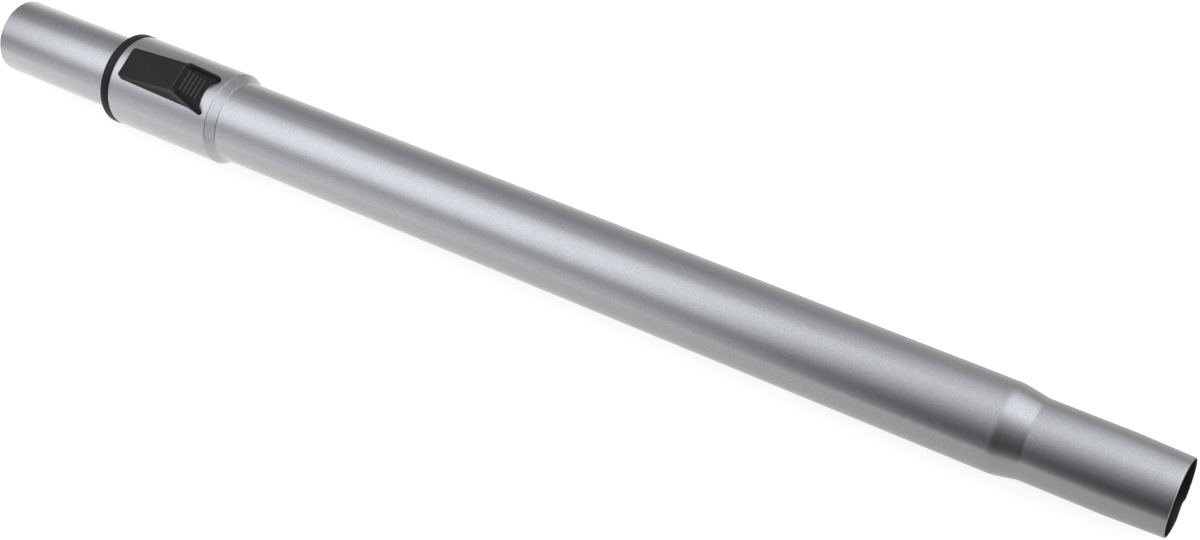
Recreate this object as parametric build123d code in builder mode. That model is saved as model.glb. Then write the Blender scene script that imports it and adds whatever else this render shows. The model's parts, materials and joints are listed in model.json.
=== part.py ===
from build123d import *

import os
from math import atan2, degrees, hypot, sqrt

# Telescopic vacuum cleaner wand of the 35 mm push-fit system, drawn collapsed.
# The wand lies along X with its slide button up: nozzle end at +X, hose end at -X.
# A station is a distance along the wand from the nozzle mouth, and a height is
# measured up from the wand's own axis. All sizes are in millimetres.

# The system size: the nozzle spigot's diameter, and the bore of the hose socket at the far end
SPIGOT_OD = 35.0

# Outer tube: one steel tube, drawn down at the nozzle end and widened at the collar
WALL = 0.6
MOUTH_TAPER = 0.75
LEAD_IN = 24.0
SPIGOT_LENGTH = 61.1
SHOULDER_LENGTH = 9.3
TUBE_LENGTH = 394.1
FLARE_LENGTH = 3.9
COLLAR_LENGTH = 60.1
SHOULDER_FOOT = 1.1
SHOULDER_CROWN = 2.2
FLARE_FOOT = 1.0
FLARE_CROWN = 1.2
RIM_BREAK = 0.2
RIM_NOTCH_WIDTH = 10.0
RIM_NOTCH_DEPTH = 0.9

# Black end ring and the felt wiper behind it
RING_OVERHANG = 0.25
RING_WIDTH = 5.2
RING_CHAMFER = 0.7
RING_SKIRT_LENGTH = 7.0
RING_SKIRT_WALL = 1.5
WIPER_WIDTH = 6.0
WIPER_GAP = 0.25

# Inner tube with its widened hose socket
SOCKET_STEP = 0.3
SOCKET_FLARE = 2.0
SOCKET_INSIDE_RING = 1.0
HOSE_EXPOSED = 70.3
PARK_GAP = 10.0

# Pressed key channel and detent pockets along the top of the inner tube
CHANNEL_WIDTH = 9.0
CHANNEL_DEPTH = 1.5
CHANNEL_DRAFT = 15.0
DETENT_COUNT = 13
DETENT_PITCH = 30.0
POCKET_LENGTH = 6.4
POCKET_WIDTH = 6.8
POCKET_DEPTH = 1.6
POCKET_DRAFT = 12.0
POCKET_CORNER = 0.8
CHANNEL_CORNER = 1.5
PRESSED_WALL = 0.42

# Clearances
RUNNING = 0.2
KEY_CLEARANCE = 0.4
SIDE_CLEARANCE = 0.3
PRESS_GAP = 0.05
BUTTON_GAP = 0.15
PIN_CLEARANCE = 0.1

# Guide sleeve moulded to fit inside the collar
SLEEVE_WALL = 3.75
SLEEVE_SETBACK = 2.2
SLEEVE_CHAMFER = 1.2
RIB_WIDTH = 6.6
KEY_SETBACK = 4.0

# Slide button, its carriage and the latch that they lift
BUTTON_TRAVEL = 3.5
LATCH_LIFT = 2.1
BUTTON_END_GAP = 5.0
BUTTON_LENGTH = 51.1
RAMP_LENGTH = 12.6
BUTTON_END_RISE = 0.9
BUTTON_END_WIDTH = 16.0
RIDGE_RISE = 7.3
RIDGE_WIDTH = 15.0
BREAK_RISE = 4.0
BREAK_WIDTH = 17.2
END_BASE_WIDTH = 16.8
HORN_WIDTH = 20.8
BUTTON_WALL = 1.3
END_CORNER = 1.6
RIDGE_ROUND = 0.9
RAMP_RIM = 1.4
RAMP_RECESS = 0.45
GROOVE_COUNT = 5
GROOVE_PITCH = 2.2
GROOVE_WIDTH = 1.2
GROOVE_LENGTH = 10.0
GROOVE_DEPTH = 0.45
GROOVE_START = 3.4
RECESS_START = 1.9

CHEEK_THICKNESS = 1.5
CHEEK_LENGTH = 24.0
CHEEK_LEAD = 12.0
CHEEK_CHAMFER = 0.5
ROOF_THICKNESS = 1.4
PEG_DIAMETER = 2.4
BOSS_DIAMETER = 4.4
PEG_SPACING = 14.0
LATCH_LENGTH = 5.0
LATCH_TIP_LENGTH = 3.8
LATCH_WIDTH = 5.6
LATCH_STATION_FROM_RING = 33.5
DOWEL_DIAMETER = 2.0
DOWEL_ABOVE_TUBE = 2.1
LATCH_HEAD = 1.3
SPRING_LENGTH = 9.0
SPRING_WIRE = 0.3
SPRING_OD = 1.8
SPRING_TURNS = 4
WIRE_SIDES = 4

# Bush and felt seal on the parked end of the inner tube
BUSH_WALL = 0.85
BUSH_LENGTH = 18.0
BUSH_LIP = 1.5
SEAL_WIDTH = 6.0

# Stations of the outer tube's forms
SHOULDER_TOP = SPIGOT_LENGTH + SHOULDER_LENGTH
FLARE_START = SHOULDER_TOP + TUBE_LENGTH
FLARE_END = FLARE_START + FLARE_LENGTH
COLLAR_END = FLARE_END + COLLAR_LENGTH
RING_END = COLLAR_END + RING_WIDTH
OVERALL_LENGTH = RING_END + HOSE_EXPOSED

# Radii from the system size outwards: each piece is a wall and a clearance round the last
SPIGOT_RADIUS = SPIGOT_OD / 2
MOUTH_RADIUS = SPIGOT_RADIUS - MOUTH_TAPER
SOCKET_BORE = SPIGOT_RADIUS
SOCKET_RADIUS = SOCKET_BORE + WALL
INNER_RADIUS = SOCKET_RADIUS - SOCKET_STEP
INNER_BORE = INNER_RADIUS - WALL
BUSH_BORE = INNER_RADIUS + PRESS_GAP
BUSH_RADIUS = BUSH_BORE + BUSH_WALL
TUBE_BORE = BUSH_RADIUS + RUNNING
TUBE_RADIUS = TUBE_BORE + WALL
SLEEVE_BORE = INNER_RADIUS + RUNNING
SLEEVE_RADIUS = SLEEVE_BORE + SLEEVE_WALL
COLLAR_BORE = SLEEVE_RADIUS + PRESS_GAP
COLLAR_RADIUS = COLLAR_BORE + WALL
RING_RADIUS = COLLAR_RADIUS + RING_OVERHANG
RING_BORE = SOCKET_RADIUS + SIDE_CLEARANCE
SKIRT_BORE = SLEEVE_RADIUS - RING_SKIRT_WALL
SEAT_RADIUS = COLLAR_RADIUS + BUTTON_GAP
AXIS_HEIGHT = RING_RADIUS

# Heights of the latch's stack above the axis
CHANNEL_FLOOR = INNER_RADIUS - CHANNEL_DEPTH
POCKET_FLOOR = CHANNEL_FLOOR - POCKET_DEPTH
LATCH_TIP = POCKET_FLOOR + SIDE_CLEARANCE
KEY_FLOOR = CHANNEL_FLOOR + KEY_CLEARANCE
DOWEL_HEIGHT = INNER_RADIUS + DOWEL_ABOVE_TUBE
LATCH_TOP = DOWEL_HEIGHT + LATCH_HEAD
SLOT_RADIUS = DOWEL_DIAMETER / 2 + PIN_CLEARANCE
CHEEK_FLOOR = INNER_RADIUS + KEY_CLEARANCE
ROOF_FLOOR = LATCH_TOP + LATCH_LIFT + SIDE_CLEARANCE
ROOF_TOP = ROOF_FLOOR + ROOF_THICKNESS

# Heights and slopes of the button's wedge
BUTTON_END_HEIGHT = COLLAR_RADIUS + BUTTON_END_RISE
BREAK_HEIGHT = COLLAR_RADIUS + BREAK_RISE
RIDGE_HEIGHT = ROOF_TOP + RIDGE_RISE
HORN_HEIGHT = sqrt(SEAT_RADIUS**2 - (HORN_WIDTH / 2) ** 2)
END_BASE_HEIGHT = sqrt(SEAT_RADIUS**2 - (END_BASE_WIDTH / 2) ** 2)
WEDGE_FLOOR = COLLAR_RADIUS / 2

# Half widths of the nested rib, cheeks and slots
RIB_HALF = RIB_WIDTH / 2
CHEEK_INNER = RIB_HALF + SIDE_CLEARANCE
CHEEK_OUTER = CHEEK_INNER + CHEEK_THICKNESS
SLOT_HALF = CHEEK_OUTER + SIDE_CLEARANCE

# Stations of the latch and of the pieces round it
LATCH_STATION = COLLAR_END - LATCH_STATION_FROM_RING
CHEEK_START = LATCH_STATION - CHEEK_LEAD
CHEEK_END = CHEEK_START + CHEEK_LENGTH
SLOT_START = CHEEK_START - SIDE_CLEARANCE
SLOT_END = CHEEK_END + BUTTON_TRAVEL + SIDE_CLEARANCE
SPRING_END = CHEEK_END + SPRING_LENGTH
CHANNEL_END = LATCH_STATION + LATCH_LENGTH / 2 + KEY_SETBACK + POCKET_LENGTH
KEY_END = CHANNEL_END - KEY_SETBACK
SLEEVE_START = FLARE_END + SLEEVE_SETBACK
SKIRT_START = COLLAR_END - RING_SKIRT_LENGTH
SLEEVE_END = SKIRT_START - PRESS_GAP
BUTTON_END = COLLAR_END - BUTTON_END_GAP
HORN_STATION = BUTTON_END - BUTTON_LENGTH
RIDGE_STATION = HORN_STATION + RAMP_LENGTH
SOCKET_START = RING_END - SOCKET_INSIDE_RING
INNER_START = SHOULDER_TOP + PARK_GAP + BUSH_LIP

# The cam slot runs from the dowel at rest to where the lifted dowel is when the button is back
CAM_RUN = hypot(BUTTON_TRAVEL, LATCH_LIFT)
CAM_ANGLE = degrees(atan2(LATCH_LIFT, BUTTON_TRAVEL))
SPRING_HEIGHT = CHEEK_FLOOR + SPRING_OD / 2

BASE = (Align.CENTER, Align.CENTER, Align.MIN)
TUBE_AXIS = Axis((0, 0, AXIS_HEIGHT), (1, 0, 0))


def along(station):
    """The X of a station."""
    return OVERALL_LENGTH / 2 - station


def at(station, height):
    """The point of the XZ plane at a station and a height above the wand's axis."""
    return (along(station), AXIS_HEIGHT + height)


def place(station, side, height):
    """The point in space at a station, a distance to the side and a height above the axis."""
    return Vector(along(station), side, AXIS_HEIGHT + height)


def block(start, end, half_width, low, high):
    """A straight block between two stations, centred on the wand's upright plane."""
    with BuildPart() as made:
        with BuildSketch(Plane.XZ):
            with BuildLine():
                Polyline(at(start, low), at(end, low), at(end, high), at(start, high), close=True)
            make_face()
        extrude(amount=half_width, both=True)
    return made.part


def ring(start, end, inner, outer):
    """A plain ring round the wand's axis between two stations."""
    with BuildPart() as made:
        with BuildSketch(Plane.XZ):
            with BuildLine():
                Polyline(at(start, inner), at(end, inner), at(end, outer), at(start, outer), close=True)
            make_face()
        revolve(axis=TUBE_AXIS)
    return made.part


def pressing(start, end, width, floor, top, draft, corner):
    """A tapered block as a press tool makes it: its floor is below its wider top."""
    middle = (along(start) + along(end)) / 2
    with BuildPart() as made:
        with BuildSketch(Plane.XY.offset(AXIS_HEIGHT + top)) as outline:
            with Locations((middle, 0)):
                Rectangle(end - start, width)
            chamfer(outline.vertices(), corner)
        extrude(amount=floor - top, taper=draft)
    return made.part


def swell(start, end, low, high, foot, crown):
    """The smooth line of a tube that is widened between two stations, and its runs into both walls."""
    return Bezier(at(start - foot, low), at(start, low), at(end, high), at(end + crown, high))


def skin(depth):
    """Draw the outer tube's wall at a depth inside its outer surface, and give the line's two ends."""
    spigot = SPIGOT_RADIUS - depth
    barrel = TUBE_RADIUS - depth
    collar = COLLAR_RADIUS - depth
    lead_in = Line(at(0, MOUTH_RADIUS - depth), at(LEAD_IN, spigot))
    shoulder = swell(SPIGOT_LENGTH, SHOULDER_TOP, spigot, barrel, SHOULDER_FOOT, SHOULDER_CROWN)
    flare = swell(FLARE_START, FLARE_END, barrel, collar, FLARE_FOOT, FLARE_CROWN)
    Line(lead_in @ 1, shoulder @ 0)
    Line(shoulder @ 1, flare @ 0)
    last = Line(flare @ 1, at(COLLAR_END, collar))
    return lead_in @ 0, last @ 1


# Outer tube
with BuildPart() as outer_tube:
    with BuildSketch(Plane.XZ):
        with BuildLine():
            outer_mouth, outer_rim = skin(0)
            inner_mouth, inner_rim = skin(WALL)
            Line(outer_mouth, inner_mouth)
            Line(outer_rim, inner_rim)
        make_face()
    revolve(axis=TUBE_AXIS)
    rim = outer_tube.edges().filter_by(GeomType.CIRCLE).group_by(Axis.X)[-1].sort_by(SortBy.RADIUS)[-1]
    chamfer(rim, RIM_BREAK)
    # Slot in the collar's crown for the button's carriage
    slot = block(SLOT_START, SLOT_END, SLOT_HALF, CHEEK_FLOOR, RING_RADIUS)
    add(slot, mode=Mode.SUBTRACT)
    # Locating notch in the nozzle rim, opposite the button
    add(
        block(-WALL, RIM_NOTCH_DEPTH, RIM_NOTCH_WIDTH / 2, -SPIGOT_RADIUS, -MOUTH_RADIUS / 2),
        mode=Mode.SUBTRACT,
    )
outer_tube.part.label = "outer_tube"


def press(grown):
    """The press tool of the channel and its pockets, grown on all sides by a wall."""
    with BuildPart() as tool:
        add(pressing(INNER_START - PARK_GAP, CHANNEL_END + grown, CHANNEL_WIDTH + 2 * grown,
                     CHANNEL_FLOOR - grown, INNER_RADIUS, CHANNEL_DRAFT, CHANNEL_CORNER))
        for detent in range(DETENT_COUNT):
            middle = LATCH_STATION - detent * DETENT_PITCH
            reach = POCKET_LENGTH / 2 + grown
            add(pressing(middle - reach, middle + reach, POCKET_WIDTH + 2 * grown,
                         POCKET_FLOOR - grown, CHANNEL_FLOOR, POCKET_DRAFT, POCKET_CORNER))
    return tool.part


# Inner tube: a round tube less the press tool, hollowed by a bore that stays clear of the
# tool by the pressed wall, which the stretch leaves thinner than the tube's
with BuildPart() as inner_bore:
    add(ring(INNER_START - WALL, SOCKET_START + SOCKET_FLARE, 0, INNER_BORE))
    add(press(PRESSED_WALL), mode=Mode.SUBTRACT)

with BuildPart() as socket_bore:
    with BuildSketch(Plane.XZ):
        with BuildLine():
            Polyline(
                at(SOCKET_START, 0),
                at(SOCKET_START, INNER_BORE),
                at(SOCKET_START + SOCKET_FLARE, SOCKET_BORE),
                at(OVERALL_LENGTH + WALL, SOCKET_BORE),
                at(OVERALL_LENGTH + WALL, 0),
                close=True,
            )
        make_face()
    revolve(axis=TUBE_AXIS)

with BuildPart() as inner_tube:
    with BuildSketch(Plane.XZ):
        with BuildLine():
            Polyline(
                at(INNER_START, 0),
                at(INNER_START, INNER_RADIUS),
                at(SOCKET_START, INNER_RADIUS),
                at(SOCKET_START + SOCKET_FLARE, SOCKET_RADIUS),
                at(OVERALL_LENGTH, SOCKET_RADIUS),
                at(OVERALL_LENGTH, 0),
                close=True,
            )
        make_face()
    revolve(axis=TUBE_AXIS)
    mouth = inner_tube.edges().filter_by(GeomType.CIRCLE).group_by(Axis.X)[0]
    chamfer(mouth, RIM_BREAK)
    add(press(0), mode=Mode.SUBTRACT)
    add(inner_bore.part, mode=Mode.SUBTRACT)
    add(socket_bore.part, mode=Mode.SUBTRACT)
inner_tube.part.label = "inner_tube"

# Guide sleeve: a ring with a central rib that keys into the channel, two tracks for the
# carriage's cheeks and the springs, and a well where the latch rises
with BuildPart() as guide_sleeve:
    add(ring(SLEEVE_START, SLEEVE_END, SLEEVE_BORE, SLEEVE_RADIUS))
    front = guide_sleeve.edges().filter_by(GeomType.CIRCLE).group_by(Axis.X)[-1].sort_by(SortBy.RADIUS)[-1]
    chamfer(front, SLEEVE_CHAMFER)
    add(block(SLEEVE_START, KEY_END, RIB_HALF, KEY_FLOOR, SLEEVE_BORE + WALL))
    for side in (-1, 1):
        track = block(SLOT_START, SPRING_END, (SLOT_HALF - RIB_HALF) / 2, KEY_FLOOR - WALL, COLLAR_RADIUS)
        with Locations((0, side * (SLOT_HALF + RIB_HALF) / 2, 0)):
            add(track, mode=Mode.SUBTRACT)
    well_half = LATCH_LENGTH / 2 + PIN_CLEARANCE
    well = block(LATCH_STATION - well_half, LATCH_STATION + well_half, CHEEK_INNER,
                 KEY_FLOOR - WALL, COLLAR_RADIUS)
    add(well, mode=Mode.SUBTRACT)
guide_sleeve.part.label = "guide_sleeve"

# End ring: a flange with broken edges, and a skirt that presses into the collar
with BuildPart() as collar_ring:
    add(ring(COLLAR_END, RING_END, RING_BORE, RING_RADIUS))
    outer_edges = collar_ring.edges().filter_by(GeomType.CIRCLE).group_by(SortBy.RADIUS)[-1]
    chamfer(outer_edges, RING_CHAMFER)
    add(ring(SKIRT_START, COLLAR_END, SKIRT_BORE, SLEEVE_RADIUS))
collar_ring.part.label = "collar_ring"

# Felt wiper, held between the sleeve, the skirt and the flange
with BuildPart() as wiper_seal:
    add(ring(COLLAR_END - WIPER_WIDTH, COLLAR_END, INNER_RADIUS + WIPER_GAP, SKIRT_BORE - PRESS_GAP))
wiper_seal.part.label = "wiper_seal"

# Bush on the parked end of the inner tube: a sleeve that runs in the outer tube, with a
# lip over the tube's cut end
with BuildPart() as end_bush:
    add(ring(INNER_START - BUSH_LIP, INNER_START, INNER_BORE, BUSH_RADIUS))
    add(ring(INNER_START, INNER_START + BUSH_LENGTH, BUSH_BORE, BUSH_RADIUS))
    add(
        pressing(INNER_START - BUSH_LIP - PARK_GAP, INNER_START + WALL,
                 CHANNEL_WIDTH, CHANNEL_FLOOR, INNER_RADIUS, CHANNEL_DRAFT, CHANNEL_CORNER),
        mode=Mode.SUBTRACT,
    )
end_bush.part.label = "end_bush"

with BuildPart() as end_seal:
    add(ring(INNER_START + BUSH_LENGTH, INNER_START + BUSH_LENGTH + SEAL_WIDTH, BUSH_BORE, BUSH_RADIUS))
end_seal.part.label = "end_seal"


def facet(first, second, third):
    """The plane through three points, facing away from the wand's upright plane."""
    run = second - first
    return Plane(origin=first, x_dir=run, z_dir=(third - first).cross(run))


def wedge_half(side_plane, inset):
    """Half of the button's wedge, on the -Y side, as cut by one of its side planes."""
    with BuildPart() as half:
        with BuildSketch(Plane.XZ):
            with BuildLine():
                Polyline(
                    at(BUTTON_END, WEDGE_FLOOR),
                    at(BUTTON_END, BUTTON_END_HEIGHT),
                    at(RIDGE_STATION, RIDGE_HEIGHT),
                    at(HORN_STATION, HORN_HEIGHT),
                    at(HORN_STATION - RAMP_SLOPE_RUN, WEDGE_FLOOR),
                    close=True,
                )
            make_face()
            if inset:
                offset(amount=-inset, kind=Kind.INTERSECTION)
        extrude(amount=HORN_WIDTH)
        split(bisect_by=side_plane.offset(-inset), keep=Keep.BOTTOM)
        if not inset:
            corner = half.edges().group_by(Axis.X)[0].sort_by(Axis.Y)[0]
            fillet(corner, END_CORNER)
    return half.part


def wedge(inset=0):
    """The button's wedge: steep upper sides with flared skirts below their break."""
    with BuildPart() as whole:
        add(wedge_half(STEEP_SIDE, inset))
        add(wedge_half(FLARED_SIDE, inset))
        mirror(about=Plane.XZ)
    return whole.part


RAMP_SLOPE_RUN = (HORN_HEIGHT - WEDGE_FLOOR) * RAMP_LENGTH / (RIDGE_HEIGHT - HORN_HEIGHT)
STEEP_SIDE = facet(
    place(BUTTON_END, -BUTTON_END_WIDTH / 2, BUTTON_END_HEIGHT),
    place(RIDGE_STATION, -RIDGE_WIDTH / 2, RIDGE_HEIGHT),
    place(RIDGE_STATION, -BREAK_WIDTH / 2, BREAK_HEIGHT),
)
FLARED_SIDE = facet(
    place(BUTTON_END, -END_BASE_WIDTH / 2, END_BASE_HEIGHT),
    place(RIDGE_STATION, -BREAK_WIDTH / 2, BREAK_HEIGHT),
    place(HORN_STATION, -HORN_WIDTH / 2, HORN_HEIGHT),
)
RAMP = Plane(
    origin=place(RIDGE_STATION, 0, RIDGE_HEIGHT),
    x_dir=(0, 1, 0),
    z_dir=(RIDGE_HEIGHT - HORN_HEIGHT, 0, RAMP_LENGTH),
)
TOP_SLOPE = (RIDGE_HEIGHT - BUTTON_END_HEIGHT) / (BUTTON_END - RIDGE_STATION)
RAMP_RUN = hypot(RIDGE_HEIGHT - HORN_HEIGHT, RAMP_LENGTH) + BUTTON_WALL
CAM_MIDDLE = at(LATCH_STATION - BUTTON_TRAVEL / 2, DOWEL_HEIGHT + LATCH_LIFT / 2)
PEG_STATIONS = (LATCH_STATION - PEG_SPACING / 2, LATCH_STATION + PEG_SPACING / 2)

# Slide button: a hollow wedge that sits on the collar, with a ramp for the thumb
with BuildPart() as slide_button:
    add(wedge())
    ridge = slide_button.edges().filter_by(Axis.Y).sort_by(Axis.Z)[-1]
    fillet(ridge, RIDGE_ROUND)
    seat = ring(HORN_STATION - RAMP_SLOPE_RUN - WALL, COLLAR_END, 0, SEAT_RADIUS)
    add(seat, mode=Mode.SUBTRACT)
    add(wedge(BUTTON_WALL), mode=Mode.SUBTRACT)
    # Finger recess down the ramp, with grooves across it
    with BuildSketch(RAMP):
        with BuildLine():
            Polyline(
                (-RIDGE_WIDTH / 2 + RAMP_RIM, -RECESS_START),
                (RIDGE_WIDTH / 2 - RAMP_RIM, -RECESS_START),
                (HORN_WIDTH / 2 - RAMP_RIM, -RAMP_RUN),
                (-HORN_WIDTH / 2 + RAMP_RIM, -RAMP_RUN),
                close=True,
            )
        make_face()
    extrude(amount=-RAMP_RECESS, mode=Mode.SUBTRACT)
    with BuildSketch(RAMP.offset(-RAMP_RECESS)):
        with Locations(*((0, -GROOVE_START - index * GROOVE_PITCH) for index in range(GROOVE_COUNT))):
            Rectangle(GROOVE_LENGTH, GROOVE_WIDTH)
    extrude(amount=-GROOVE_DEPTH, mode=Mode.SUBTRACT)
    # Bosses on the ceiling, with pegs that fix the carriage's roof
    for station in PEG_STATIONS:
        boss_top = RIDGE_HEIGHT - TOP_SLOPE * (station - RIDGE_STATION) - BUTTON_WALL / 2
        with Locations((along(station), 0, AXIS_HEIGHT + ROOF_TOP)):
            Cylinder(BOSS_DIAMETER / 2, boss_top - ROOF_TOP, align=BASE)
        with Locations((along(station), 0, AXIS_HEIGHT + ROOF_FLOOR)):
            Cylinder(PEG_DIAMETER / 2, ROOF_THICKNESS + WALL, align=BASE)
slide_button.part.label = "slide_button"

# Carriage: two cheeks with oblique cam slots, joined by a roof under the button
with BuildPart() as cam_carriage:
    add(block(CHEEK_START, CHEEK_END, CHEEK_OUTER, CHEEK_FLOOR, ROOF_TOP))
    space = block(CHEEK_START - WALL, CHEEK_END + WALL, CHEEK_INNER, CHEEK_FLOOR - WALL, ROOF_FLOOR)
    add(space, mode=Mode.SUBTRACT)
    with BuildSketch(Plane.XZ):
        with Locations(CAM_MIDDLE):
            SlotCenterToCenter(CAM_RUN, 2 * SLOT_RADIUS, rotation=CAM_ANGLE)
    extrude(amount=SLOT_HALF, both=True, mode=Mode.SUBTRACT)
    with Locations(*((along(station), 0, AXIS_HEIGHT + ROOF_FLOOR) for station in PEG_STATIONS)):
        Cylinder(PEG_DIAMETER / 2 + PRESS_GAP, ROOF_THICKNESS, align=BASE, mode=Mode.SUBTRACT)
    feet = cam_carriage.edges().filter_by(Axis.Y).group_by(Axis.Z)[0]
    chamfer(feet, CHEEK_CHAMFER)
cam_carriage.part.label = "cam_carriage"

# Latch: a block whose tooth drops into a pocket, hung on a cross dowel in the cam slots
with BuildPart() as latch_block:
    with BuildSketch(Plane.XZ):
        with BuildLine():
            Polyline(
                at(LATCH_STATION - LATCH_TIP_LENGTH / 2, LATCH_TIP),
                at(LATCH_STATION + LATCH_TIP_LENGTH / 2, LATCH_TIP),
                at(LATCH_STATION + LATCH_LENGTH / 2, KEY_FLOOR),
                at(LATCH_STATION + LATCH_LENGTH / 2, LATCH_TOP),
                at(LATCH_STATION - LATCH_LENGTH / 2, LATCH_TOP),
                at(LATCH_STATION - LATCH_LENGTH / 2, KEY_FLOOR),
                close=True,
            )
        make_face()
        with Locations(at(LATCH_STATION, DOWEL_HEIGHT)):
            Circle(DOWEL_DIAMETER / 2 + PRESS_GAP, mode=Mode.SUBTRACT)
    extrude(amount=LATCH_WIDTH / 2, both=True)
latch_block.part.label = "latch_block"

with BuildPart() as latch_dowel:
    with BuildSketch(Plane.XZ):
        with Locations(at(LATCH_STATION, DOWEL_HEIGHT)):
            Circle(DOWEL_DIAMETER / 2)
    extrude(amount=CHEEK_OUTER, both=True)
latch_dowel.part.label = "latch_dowel"


def return_spring(side):
    """A coil spring in one of the sleeve's tracks, between a cheek and the track's end."""
    start = place(CHEEK_END + SPRING_WIRE, side * (RIB_HALF + SLOT_HALF) / 2, SPRING_HEIGHT)
    free = SPRING_LENGTH - 2 * SPRING_WIRE
    radius = (SPRING_OD - SPRING_WIRE) / 2
    with BuildPart() as coil:
        with BuildLine() as turns:
            Helix(free / SPRING_TURNS, free, radius, center=start, direction=(-1, 0, 0))
        with BuildSketch(Plane(origin=turns.line @ 0, z_dir=turns.line % 0)):
            RegularPolygon(SPRING_WIRE / 2, WIRE_SIDES)
        sweep(path=turns.line, is_frenet=True)
    return coil.part


with BuildPart() as return_spring_left:
    add(return_spring(1))
return_spring_left.part.label = "return_spring_left"

with BuildPart() as return_spring_right:
    add(return_spring(-1))
return_spring_right.part.label = "return_spring_right"

os.makedirs("parts", exist_ok=True)
export_step(outer_tube.part, "parts/outer_tube.step")
export_step(guide_sleeve.part, "parts/guide_sleeve.step")
export_step(collar_ring.part, "parts/collar_ring.step")
export_step(wiper_seal.part, "parts/wiper_seal.step")
export_step(inner_tube.part, "parts/inner_tube.step")
export_step(end_bush.part, "parts/end_bush.step")
export_step(end_seal.part, "parts/end_seal.step")
export_step(slide_button.part, "parts/slide_button.step")
export_step(cam_carriage.part, "parts/cam_carriage.step")
export_step(latch_block.part, "parts/latch_block.step")
export_step(latch_dowel.part, "parts/latch_dowel.step")
export_step(return_spring_left.part, "parts/return_spring_left.step")
export_step(return_spring_right.part, "parts/return_spring_right.step")
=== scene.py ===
"""Telescopic vacuum cleaner wand, drawn collapsed: its looks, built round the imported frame.

The wand lies along X with its slide button up, its nozzle end at +X and its hose end at -X.
A station is a distance from the nozzle mouth towards the hose end, and a height is measured
up from the wand's own axis. Both are in millimetres, as every size in the classes is, and
Datum turns them into the frame's metres.
"""

import json
import logging
import math
from collections.abc import Callable, Iterable, Sequence
from dataclasses import dataclass, field
from enum import Enum

import bmesh
import bpy
from mathutils import Matrix, Vector
from mathutils.geometry import interpolate_bezier

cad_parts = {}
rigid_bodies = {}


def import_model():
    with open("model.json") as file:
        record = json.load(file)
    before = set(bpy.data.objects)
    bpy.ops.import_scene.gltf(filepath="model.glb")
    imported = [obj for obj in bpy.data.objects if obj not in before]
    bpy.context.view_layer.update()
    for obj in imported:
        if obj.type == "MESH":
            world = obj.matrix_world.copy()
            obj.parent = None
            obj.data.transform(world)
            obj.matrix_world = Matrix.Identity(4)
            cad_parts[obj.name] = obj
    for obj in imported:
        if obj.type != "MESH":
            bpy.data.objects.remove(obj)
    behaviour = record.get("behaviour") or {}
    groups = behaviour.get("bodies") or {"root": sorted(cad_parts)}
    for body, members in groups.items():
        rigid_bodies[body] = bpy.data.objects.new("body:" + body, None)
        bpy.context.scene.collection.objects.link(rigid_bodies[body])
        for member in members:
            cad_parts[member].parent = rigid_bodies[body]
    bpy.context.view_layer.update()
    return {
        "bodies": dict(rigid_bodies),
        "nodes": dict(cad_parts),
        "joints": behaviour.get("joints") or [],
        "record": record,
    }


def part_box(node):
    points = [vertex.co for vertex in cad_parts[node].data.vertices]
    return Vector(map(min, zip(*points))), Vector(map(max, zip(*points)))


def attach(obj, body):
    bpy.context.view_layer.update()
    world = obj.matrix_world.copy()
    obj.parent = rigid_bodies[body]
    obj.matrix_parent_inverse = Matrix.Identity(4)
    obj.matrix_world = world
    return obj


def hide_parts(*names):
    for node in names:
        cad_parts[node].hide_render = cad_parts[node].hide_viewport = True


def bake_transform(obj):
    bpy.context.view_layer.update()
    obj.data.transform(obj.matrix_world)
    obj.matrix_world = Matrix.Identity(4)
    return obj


LOG = logging.getLogger("wand")

# A millimetre in the frame's metres, and the distance in metres under which vertices are one
MM = 0.001
WELD = 1e-6
# Reach of a curve's handles on a rounded corner, as a share of the corner's cut
ROUND_HANDLE = 0.5523
# Plain wall that is drawn at each end of a swell, in millimetres
SWELL_GUARD = 0.5
# Degrees of a whole sweep round the wand's axis
FULL_TURN = 360.0
# Sockets of a Mix node: its share, its two values, and its two colours with their blend
MIX_SHARE = 0
MIX_LOW = 2
MIX_HIGH = 3
MIX_FIRST = 6
MIX_SECOND = 7
MIX_BLEND = 2


class Body(Enum):
    """The bodies of the wand that move on their own."""

    OUTER = "outer"
    INNER = "inner"
    SLIDER = "slider"
    LATCH = "latch"


class Slot(Enum):
    """The record's material slots."""

    LACQUER = "silver_lacquered_steel"
    PLASTIC = "black_plastic"
    ACETAL = "natural_acetal"
    STEEL = "plain_steel"
    FELT = "grey_felt"


class Cut(Enum):
    """What a cutter does to a piece."""

    REMOVE = "DIFFERENCE"
    JOIN = "UNION"


@dataclass(frozen=True)
class Datum:
    """Where the wand's stations and heights lie in the frame.

    Attributes:
        mouth: X of the nozzle mouth, in metres.
        axis: Z of the wand's axis, in metres.
    """

    mouth: float
    axis: float

    @classmethod
    def from_frame(cls) -> "Datum":
        """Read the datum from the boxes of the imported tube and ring."""
        low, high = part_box("collar_ring")
        return cls(mouth=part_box("outer_tube")[1].x, axis=(low.z + high.z) / 2)

    def at(self, station: float, side: float = 0.0, height: float = 0.0) -> Vector:
        """Give the point at a station, a distance to the side and a height above the axis.

        Args:
            station: Distance from the nozzle mouth, in millimetres.
            side: Distance along +Y, in millimetres.
            height: Distance above the axis, in millimetres.

        Returns:
            The point in the frame, in metres.
        """
        return Vector((self.mouth - station * MM, side * MM, self.axis + height * MM))


def linear(colour: str) -> tuple[float, float, float, float]:
    """Turn an sRGB hex colour into the linear colour that a shader takes.

    Args:
        colour: Six hex digits after a hash sign.

    Returns:
        Linear red, green, blue and an alpha of 1.
    """
    values = [int(colour[index:index + 2], 16) / 255 for index in (1, 3, 5)]
    red, green, blue = (v / 12.92 if v <= 0.04045 else ((v + 0.055) / 1.055) ** 2.4 for v in values)
    return red, green, blue, 1.0


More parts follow.
